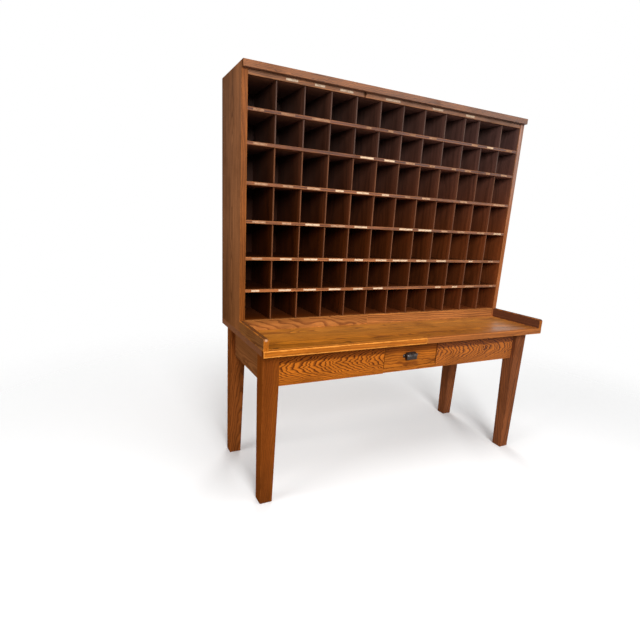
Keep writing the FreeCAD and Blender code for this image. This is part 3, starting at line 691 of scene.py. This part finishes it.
def finish_front():
    """The front under the top: boldly arched aprons, the drawer between them, and its rail. The aprons and
    the drawer front carry a painted shadow in a band under the overhang, and the drawer front a painted
    shade at its right end, by its gap."""
    # Painted shadow: the aprons and drawer front are darkened above this height, where the overhang shades
    # them.
    painted_overhang_shadow = ("z", 0.670, 0.005, (0.50, 0.44, 0.40))
    # Painted shade: the drawer front's last millimetres at its right end are darkened, where its gap is.
    painted_gap_shade = ("x", 0.1605, 0.0004, (0.30, 0.26, 0.26))
    right_knot = ((0.50, -0.2335, 0.655), 0.003, 0.02)
    apron = dict(stain="figured", lie="xz", pith=(0, -0.208, 0.640), ring=0.0115, lean=-0.2, wander=0.02,
                 dark_half=0.42, contrast=0.95, curl=0.007, curl_size=0.06, ripple=0.013,
                 ripple_size=0.016, flat_half=0.055, strips=(painted_overhang_shadow,))
    board("apron_front_left", run_out=-0.42, seed=11.0, end_line=0.0015, milky=0.03, **apron)
    board("apron_front_right", run_out=0.42, seed=12.0, end_line=0.004, milky=0.10, knots=(right_knot,),
          **apron)
    board("drawer_rail", stain="honey", lie="xz", pith=(0, -0.15, 0.56), seed=13.0, contrast=0.5,
          milky=0.04)
    board("drawer_front", stain="honey", lie="xz", pith=(0, -0.20, 0.60), ring=0.010, run_out=0.05,
          wander=0.03, curl=0.008, curl_size=0.05, ripple=0.004, contrast=0.65, dark_half=0.35, tone=1.2,
          seed=14.0, arris=0.0012, seam=0.003, milky=0.03, strips=(painted_overhang_shadow, painted_gap_shade))


def finish_other_aprons():
    """The dull brown end aprons, and the plain back one."""
    side_apron = dict(stain="tobacco", lie="yz", gloss=0.0)
    board("apron_side_left", pith=(-0.7, 0, 0.6), seed=15.0, **side_apron)
    board("apron_side_right", pith=(0.7, 0, 0.6), seed=16.0, **side_apron)
    board("apron_back", stain="amber", lie="xz", pith=(0, 0.36, 0.62), seed=17.0)


def finish_legs():
    """Tapered legs. The front left one is close-grained and darker, most of all by its foot."""
    leg = dict(lie="zx", wear=0.006, rub=0.2, gloss=0.0, arris=0.0015, run_out=0.05, curl=0.005,
               curl_size=0.05, milky=0.08)
    above_the_foot = ("z", 0.16, 0.12, (1.15, 1.12, 1.0))
    inner_part = ("x", -0.757, 0.003, (1.10, 1.12, 1.0))
    off_the_outer_face = ("x", -0.8045, 0.0004, (0.8, 0.8, 0.85))
    board("leg_front_left", stain="chestnut", pith=(-0.70, -0.14, 0), ring=0.005, contrast=0.35, tone=0.5,
          seed=20.0, strips=(above_the_foot, inner_part, off_the_outer_face), **leg)
    other = dict(stain="warm_brown", ring=0.008, ripple=0.005, ripple_size=0.02, contrast=0.75,
                 tone=0.7, **leg)
    board("leg_front_right", pith=(0.85, -0.14, 0), seed=21.0, **other)
    board("leg_back_left", pith=(-0.74, 0.30, 0), seed=22.0, **other)
    board("leg_back_right", pith=(0.85, 0.36, 0), seed=23.0, **other)


# ------------------------ the case's boards
def finish_case_sides():
    """Tall sides, with painted shade that darkens them towards the back, and paler in the upper part; the
    right one has a painted bluish sheen near its top. Behind the front edge each has another tone."""
    # Painted shade: the sides grow darker towards the back.
    painted_shade_towards_back = ("y", 0.16, 0.14, (0.62, 0.64, 0.68))
    left_behind_edge = ("y", 0.0135, 0.0008, (1.30, 1.62, 3.0))
    left_upper = ("z", 1.15, 0.12, (1.22, 1.26, 1.35))
    right_behind_edge = ("y", 0.0135, 0.0008, (0.75, 0.62, 0.42))
    # Painted sheen: the right side grows bluer and paler towards its top.
    painted_sheen_right_top = ("z", 1.45, 0.28, (0.88, 1.50, 3.3))
    side = dict(lie="zy", ring=0.007, run_out=0.01, wander=0.04, in_case=True, arris=0.0008,
                contrast=0.5, tone=0.7, gloss=0.0, rough=(0.5, 0.65))
    board("case_side_left", stain="left_edge", pith=(-0.90, 0.15, 0), seed=31.0, milky=0.12,
          strips=(painted_shade_towards_back, left_behind_edge, left_upper), **side)
    board("case_side_right", stain="right_edge", pith=(0.90, 0.15, 0), seed=32.0, milky=0.0,
          strips=(painted_shade_towards_back, right_behind_edge, painted_sheen_right_top), **side)


def finish_crown():
    """The crown strip, the two lengths of header strip under it, and the plain lid behind them."""
    header_knot = ((-0.235, shelf_front, 1.871), 0.007, 0.0)
    header = dict(stain="header", lie="xz", in_case=True, arris=0.0005, contrast=0.9, tone=1.2, dirt=0.3,
                  end_line=0.003, knots=(header_knot,), milky=0.22)
    board("crown_strip", stain="crown", lie="xz", pith=(0, -0.05, 1.85), seed=33.0, contrast=0.8, tone=1.0,
          ring=0.004, curl=0.004, curl_size=0.02, ripple=0.003, arris=0, dirt=0.4, rub=0.1, milky=0.24)
    board("header_strip_left", pith=(0, 0.06, 1.84), seed=34.0, **header)
    board("header_strip_right", pith=(0, 0.06, 1.83), seed=35.0, **header)
    board("case_lid", stain="raw", lie="xy", pith=(0, 0.17, 1.85), seed=36.0)


def finish_shelves():
    """The shelves' front edges grow lighter from the top down. Inside the compartments their under faces
    have painted light and their upper faces painted shade, apart from the floor board's."""
    by_height = ("shelf_upper", "shelf_middle", "shelf_lower")
    plain = dict(lie="xy", ring=0.006, in_case=True, arris=0.0006, contrast=0.8, tone=0.9, wear=0.005,
                 rub=0.5, dirt=0.4)
    # inner_gain paints light on the under faces and shade on the upper faces.
    shelf = dict(inner_gain=(1.9, 0.36), **plain)
    board("ceiling_shelf", stain=by_height[0], pith=(0, 0.15, 1.80), seed=37.0, **shelf)
    for i in range(1, 7):
        pith = (0, 0.1 + 0.02 * i, row_floors[i - 1] - 0.09)
        board("shelf_%d" % i, stain=by_height[(i - 1) // 2], pith=pith, seed=40.0 + i, **shelf)
    board("floor_board", stain="shelf_lower", pith=(0, 0.15, 0.74), seed=47.0, **plain)


def finish_dividers():
    """Thin upright boards, with greyer edges in the two top rows and darker faces in the two lowest."""
    divider = dict(lie="zy", pith=(0.1, 0.15, 0), ring=0.007, by_cell=True, in_case=True, arris=0.0008,
                   rub=0.15, tone=0.8, milky=0.07)
    for row in range(1, 8):
        name = "dividers_row_%d" % row
        edge = "thin_edge_high" if row < 3 else "thin_edge_low"
        level = 1.0 if row < 6 else 0.8
        board(name, stain=edge, seed=50.0 + row, room_front=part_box(name)[0][1] + 0.0006,
              inner_gain=(level, level), **divider)


def finish_back():
    """Four plain upright boards, with dark seams between them. Inside the case their stain is held at 0.4
    of its level, a painted shade.
    """
    for i in range(1, 5):
        board("back_board_%d" % i, stain="raw", lie="zx", pith=(0.3 * i - 0.7, 0.4, 0), seed=60.0 + i,
              in_case=True, inner_gain=(0.4, 0.4), arris=0.0005, seam=0.004, milky=0.0)


def finish_hidden_wood():
    """The drawer's box, its runners and stops, and the glue blocks: plain wood, never finished."""
    lies = {"drawer_side_left": "yz", "drawer_side_right": "yz", "drawer_back": "xz",
            "drawer_bottom": "xy", "drawer_runner_left": "yz", "drawer_runner_right": "yz",
            "drawer_stops": "yz", "glue_blocks": "xy"}
    raw = dict(stain="raw", pith=(0.02, 0.1, 0.5), rough=(0.6, 0.75), milky=0.0)
    for i, (name, lie) in enumerate(lies.items()):
        board(name, lie=lie, seed=70.0 + i, **raw)


# ------------------------ metal and paper
def bronze():
    """Cast bronze gone dark brown, with a grey shine where fingers rub it between its rims."""
    dark_brown = rgba((0.045, 0.035, 0.030))
    grey_shine = rgba((0.15, 0.135, 0.13))
    rim = 0.012
    material, tree, shader, place = start_material("dark_bronze_metal")
    low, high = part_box("drawer_pull")
    clouds = noise(tree, place, (70.0, 70.0, 70.0), detail=3.0)
    band = ramp(tree, split(tree, place)[2], low[2] + rim, high[2] - rim)
    rubbed = calc(tree, "MULTIPLY", ramp(tree, clouds, 0.35, 0.7), band)
    grains = noise(tree, place, (420.0, 420.0, 420.0))
    feed_named(tree, shader.inputs, Base_Color=mix_colour(tree, rubbed, dark_brown, grey_shine),
               Roughness=ramp(tree, clouds, 0.3, 0.7, 0.28, 0.45), Metallic=0.85,
               Normal=bumped(tree, 0.3, 0.0003, grains))
    return material


def screw_steel():
    """Plain steel screws, dulled and browned."""
    dull_steel = rgba((0.16, 0.14, 0.12))
    rust_brown = rgba((0.07, 0.04, 0.025))
    material, tree, shader, place = start_material("screw_steel_metal")
    clouds = noise(tree, place, (300.0, 300.0, 300.0), detail=3.0)
    colour = mix_colour(tree, ramp(tree, clouds, 0.4, 0.65), dull_steel, rust_brown)
    feed_named(tree, shader.inputs, Base_Color=colour, Roughness=ramp(tree, clouds, 0.3, 0.7, 0.35, 0.6),
               Metallic=0.9)
    return material


def paper(name, light, dark, stain_share):
    """Paper labels: a warm sheet, each one aged a little differently and more in the upper rows, with
    cloudy stains and fibres."""
    material, tree, shader, place = start_material(name)
    sideways, _, up = split(tree, place)
    cell = calc(tree, "FLOOR", calc(tree, "MULTIPLY", sideways, 1 / cell_pitch))
    row = calc(tree, "FLOOR", calc(tree, "MULTIPLY", up, 12.0))
    own = add(tree, "ShaderNodeTexWhiteNoise", join(tree, cell, row, 0.0)).outputs["Value"]
    age = calc(tree, "MULTIPLY_ADD", own, 0.45, ramp(tree, up, 1.40, 1.70, 0.0, 0.4))
    clouds = ramp(tree, noise(tree, place, (90.0, 90.0, 160.0), detail=4.0), 0.42, 0.68)
    share = calc(tree, "MULTIPLY_ADD", clouds, stain_share, age, clamp=True)
    fibres = noise(tree, place, (900.0, 900.0, 1500.0))
    feed_named(tree, shader.inputs, Base_Color=mix_colour(tree, share, rgba(light), rgba(dark)),
               Roughness=ramp(tree, fibres, 0.3, 0.7, 0.62, 0.8), Specular_IOR_Level=0.2,
               Normal=bumped(tree, 0.25, 0.0001, fibres))
    return material


def ink():
    """Brown writing ink, paler where it has faded."""
    material, tree, shader, place = start_material("brown_ink")
    faded = ramp(tree, noise(tree, place, (250.0, 250.0, 250.0)), 0.35, 0.7)
    colour = mix_colour(tree, faded, rgba((0.055, 0.030, 0.018)), rgba((0.20, 0.12, 0.07)))
    feed_named(tree, shader.inputs, Base_Color=colour, Roughness=0.8, Specular_IOR_Level=0.1)
    return material


def finish_small_parts():
    """The cup pull, the screws and the three kinds of paper label."""
    dress("drawer_pull", bronze())
    steel = screw_steel()
    dress("pull_screws", steel)
    dress("case_screws", steel)
    dress("fresh_labels", paper("fresh_paper_sheet", (0.86, 0.66, 0.45), (0.56, 0.35, 0.20), 0.4))
    dress("aged_labels", paper("aged_paper_sheet", (0.58, 0.34, 0.20), (0.25, 0.12, 0.06), 0.5))
    dress("header_labels", paper("header_paper_sheet", (0.80, 0.66, 0.48), (0.45, 0.31, 0.21), 0.5))


# ------------------------ the numbers on the labels
def mesh_points(mesh):
    """A mesh's points, one row each."""
    points = np.empty(len(mesh.vertices) * 3)
    mesh.vertices.foreach_get("co", points)
    return points.reshape(-1, 3)


def label_boxes(name):
    """The front rectangle of each label of a node, as rows of lowest x, z and highest x, z. The two
    triangles of a rectangle share its bounds, so each different pair of bounds is one label."""
    mesh = nodes[name].data
    corners = np.empty(len(mesh.loops), dtype=int)
    mesh.loops.foreach_get("vertex_index", corners)
    triangles = mesh_points(mesh)[corners].reshape(-1, 3, 3)
    front = triangles[np.all(triangles[:, :, 1] < label_face + 0.00005, axis=1)][:, :, [0, 2]]
    bounds = np.hstack([front.min(axis=1), front.max(axis=1)])
    return np.unique(np.round(bounds, 5), axis=0)


def digits(text, height):
    """A short number's flat faces: points as rows of x, z centred on the origin, and polygons."""
    digit_to_size = 0.7
    curve = bpy.data.curves.new(text, "FONT")
    curve.body = text
    curve.size = height / digit_to_size
    curve.resolution_u = 1
    lettering = bpy.data.objects.new(text, curve)
    mesh = bpy.data.meshes.new_from_object(lettering)
    points = mesh_points(mesh)[:, :2]
    faces = [list(face.vertices) for face in mesh.polygons]
    bpy.data.objects.remove(lettering)
    bpy.data.curves.remove(curve)
    bpy.data.meshes.remove(mesh)
    return points - (points.min(axis=0) + points.max(axis=0)) / 2, faces


def write_numbers():
    """Each label gets its row's and column's number, in flat faces just in front of the paper. The
    header's labels count as the row above the first, so they run from 101."""
    digit_height = 0.55
    ink_gap = 0.0001
    boxes = np.vstack([label_boxes(name) for name in ("fresh_labels", "aged_labels", "header_labels")])
    all_points, all_faces, count = [], [], 0
    for left, bottom, right, top in boxes:
        middle_x, middle_z = (left + right) / 2, (bottom + top) / 2
        column = int((middle_x + case_half_inside) / cell_pitch) + 1
        row = sum(1 for floor in row_floors if floor > middle_z)
        flat, faces = digits("%d" % (100 * (row + 1) + column), digit_height * (top - bottom))
        place = np.empty((len(flat), 3))
        place[:, 0] = flat[:, 0] + middle_x
        place[:, 1] = label_face - ink_gap
        place[:, 2] = flat[:, 1] + middle_z
        all_points.append(place)
        all_faces += [[corner + count for corner in face] for face in faces]
        count += len(flat)
    mesh = bpy.data.meshes.new("label_numbers")
    mesh.from_pydata(np.vstack(all_points).tolist(), [], all_faces)
    mesh.materials.append(ink())
    piece = bpy.data.objects.new("label_numbers", mesh)
    bpy.context.scene.collection.objects.link(piece)
    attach(piece, "desk")


# ------------------------ stage, light and camera
def seen_ray(tree):
    """1 for rays from the camera, a mirror or glass, 0 for rays that only carry light."""
    path = tree.nodes.new("ShaderNodeLightPath").outputs
    seen = calc(tree, "MAXIMUM", path["Is Camera Ray"], path["Is Glossy Ray"])
    return calc(tree, "MAXIMUM", seen, path["Is Transmission Ray"])


def make_floor():
    """A pale floor disc that fades out with distance, so that it meets the white room without a line.
    The camera and reflections see it white; what it throws back on the piece is a plain floor's."""
    bpy.ops.mesh.primitive_circle_add(vertices=96, radius=7.0, fill_type="NGON", location=(0, 0, 0))
    floor = bpy.context.object
    floor.name = "floor"
    material, tree, shader, place = start_material("pale_floor")
    colour = mix_colour(tree, seen_ray(tree), rgba((0.45, 0.45, 0.45)), rgba((1.0, 1.0, 1.0)))
    feed_named(tree, shader.inputs, Base_Color=colour, Roughness=0.9, Specular_IOR_Level=0.0)
    far = ramp(tree, vec(tree, "LENGTH", place), 1.0, 3.4)
    clear = tree.nodes.new("ShaderNodeBsdfTransparent").outputs[0]
    blend = add(tree, "ShaderNodeMixShader", far, shader.outputs[0], clear).outputs[0]
    output = next(n for n in tree.nodes if n.type == "OUTPUT_MATERIAL")
    tree.links.new(blend, output.inputs["Surface"])
    floor.data.materials.append(material)


def make_world(level):
    """A white room for the camera and reflections, and an even light of the given level for the rest."""
    world = bpy.data.worlds.new("white_room")
    bpy.context.scene.world = world
    world.use_nodes = True
    tree = world.node_tree
    backdrop = next(n for n in tree.nodes if n.type == "BACKGROUND")
    strength = ramp(tree, seen_ray(tree), 0.0, 1.0, level, 1.0, smooth=False)
    feed_named(tree, backdrop.inputs, Color=rgba((1.0, 1.0, 1.0)), Strength=strength)


def area_light(name, place, target, size, level):
    """A square soft lamp. The level is what a white face turned to it would render at from target."""
    data = bpy.data.lights.new(name, "AREA")
    lamp = bpy.data.objects.new(name, data)
    bpy.context.scene.collection.objects.link(lamp)
    way = Vector(target) - Vector(place)
    data.size = size
    data.energy = level * math.pi ** 2 * way.length_squared
    lamp.location = place
    lamp.rotation_euler = way.to_track_quat("-Z", "Y").to_euler()


def make_lights():
    """The white room's own light, and soft lamps in front, above, on the left and behind."""
    make_world(0.18)
    area_light("front_light", (-1.2, -4.6, 2.9), (0.0, 0.0, 1.0), 1.8, 0.90)
    area_light("top_light", (0.2, -0.9, 4.6), (0.0, 0.0, 0.9), 2.4, 0.55)
    area_light("left_light", (-4.6, -0.6, 2.4), (0.0, 0.0, 1.0), 2.4, 0.30)
    area_light("back_light", (1.6, 4.6, 2.6), (0.0, 0.0, 1.0), 2.4, 0.45)


def make_camera():
    """Stands left of the middle, turned to the right, looking down a little, tilted by three degrees."""
    eye = (-1.4200, -1.9695, 1.2892)
    yaw, pitch, roll = math.radians(26.918), math.radians(-14.574), math.radians(3.175)
    forward = Vector((math.sin(yaw) * math.cos(pitch), math.cos(yaw) * math.cos(pitch), math.sin(pitch)))
    level_right = Vector((math.cos(yaw), -math.sin(yaw), 0.0))
    level_up = level_right.cross(forward)
    right = level_right * math.cos(roll) + level_up * math.sin(roll)
    up = level_up * math.cos(roll) - level_right * math.sin(roll)
    data = bpy.data.cameras.new("camera")
    camera = bpy.data.objects.new("camera", data)
    bpy.context.scene.collection.objects.link(camera)
    turn = Matrix((right, up, -forward)).transposed().to_4x4()
    camera.matrix_world = Matrix.Translation(eye) @ turn
    data.sensor_width = 36.0
    data.lens = 25.127
    data.shift_x = 0.0030
    data.shift_y = 0.0258
    bpy.context.scene.camera = camera


finish_top()
finish_nosing()
finish_gallery()
finish_kickboards()
finish_front()
finish_other_aprons()
finish_legs()
finish_case_sides()
finish_crown()
finish_shelves()
finish_dividers()
finish_back()
finish_hidden_wood()
finish_small_parts()
write_numbers()
make_floor()
make_lights()
make_camera()
bpy.context.scene.view_settings.view_transform = "Standard"
